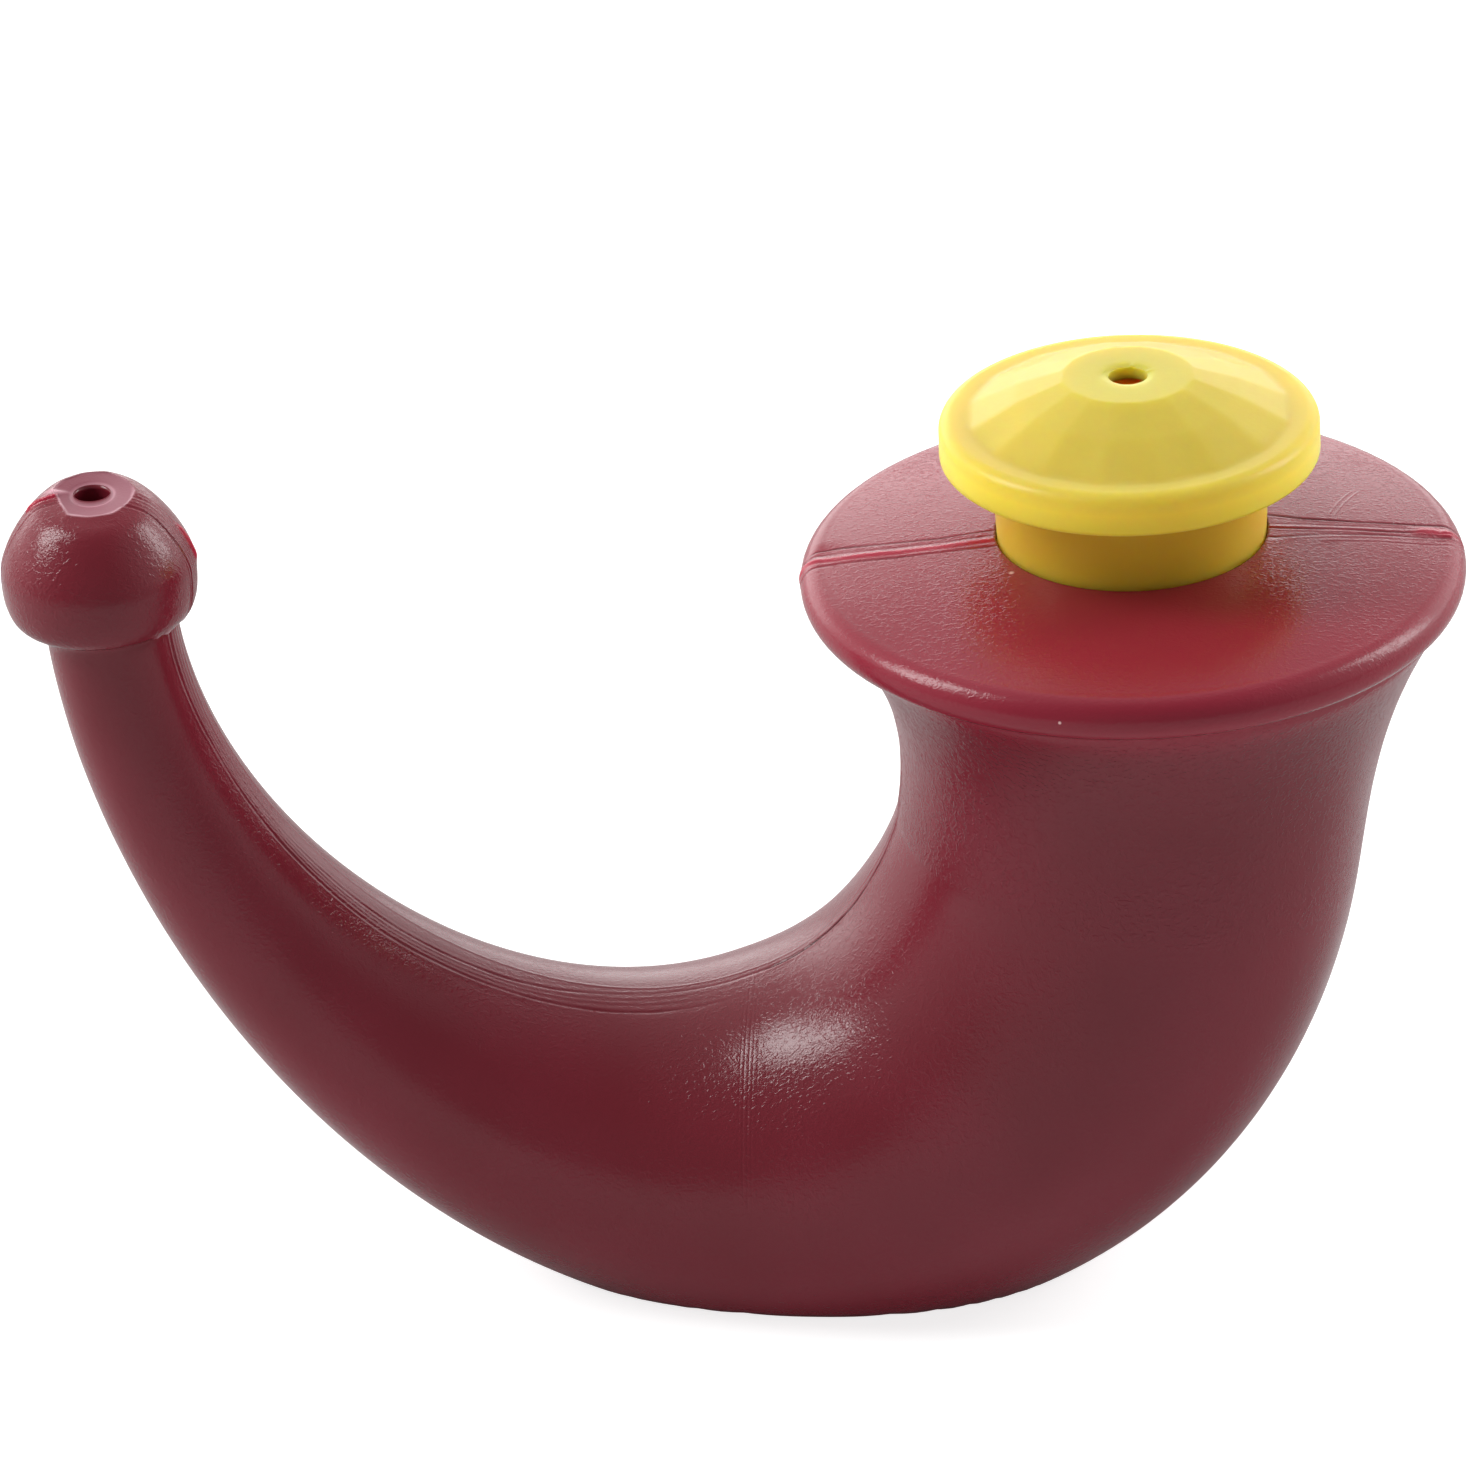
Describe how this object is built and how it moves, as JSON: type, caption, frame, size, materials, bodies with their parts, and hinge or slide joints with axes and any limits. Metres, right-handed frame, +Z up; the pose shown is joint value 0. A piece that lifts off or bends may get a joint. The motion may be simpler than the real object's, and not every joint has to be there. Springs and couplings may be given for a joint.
{
  "type": "neti pot",
  "caption": "Horn-shaped nasal rinsing pot: a hollow curved body with a bulb nozzle, a flat disc round its mouth and a push-in stopper with a faceted cap and an air hole.",
  "frame": {"origin": "middle of the outer size in X and Y, on the surface the foot stands on", "axes": "+X from the nozzle to the mouth, +Z up along the mouth's and the nozzle's axes, XZ the pot's plane of symmetry"},
  "size_m": [0.1538, 0.07, 0.1037],
  "materials": {
    "horn": "satin",
    "stopper": "satin, slightly translucent"
  },
  "bodies": {
    "pot": {"horn": "horn"},
    "stopper": {"stopper": "stopper"}
  },
  "joints": [
    {"name": "stopper_lift", "type": "slide", "parent": "pot", "child": "stopper", "axis": [0, 0, 1], "range_m": [0, 0.04]}
  ]
}
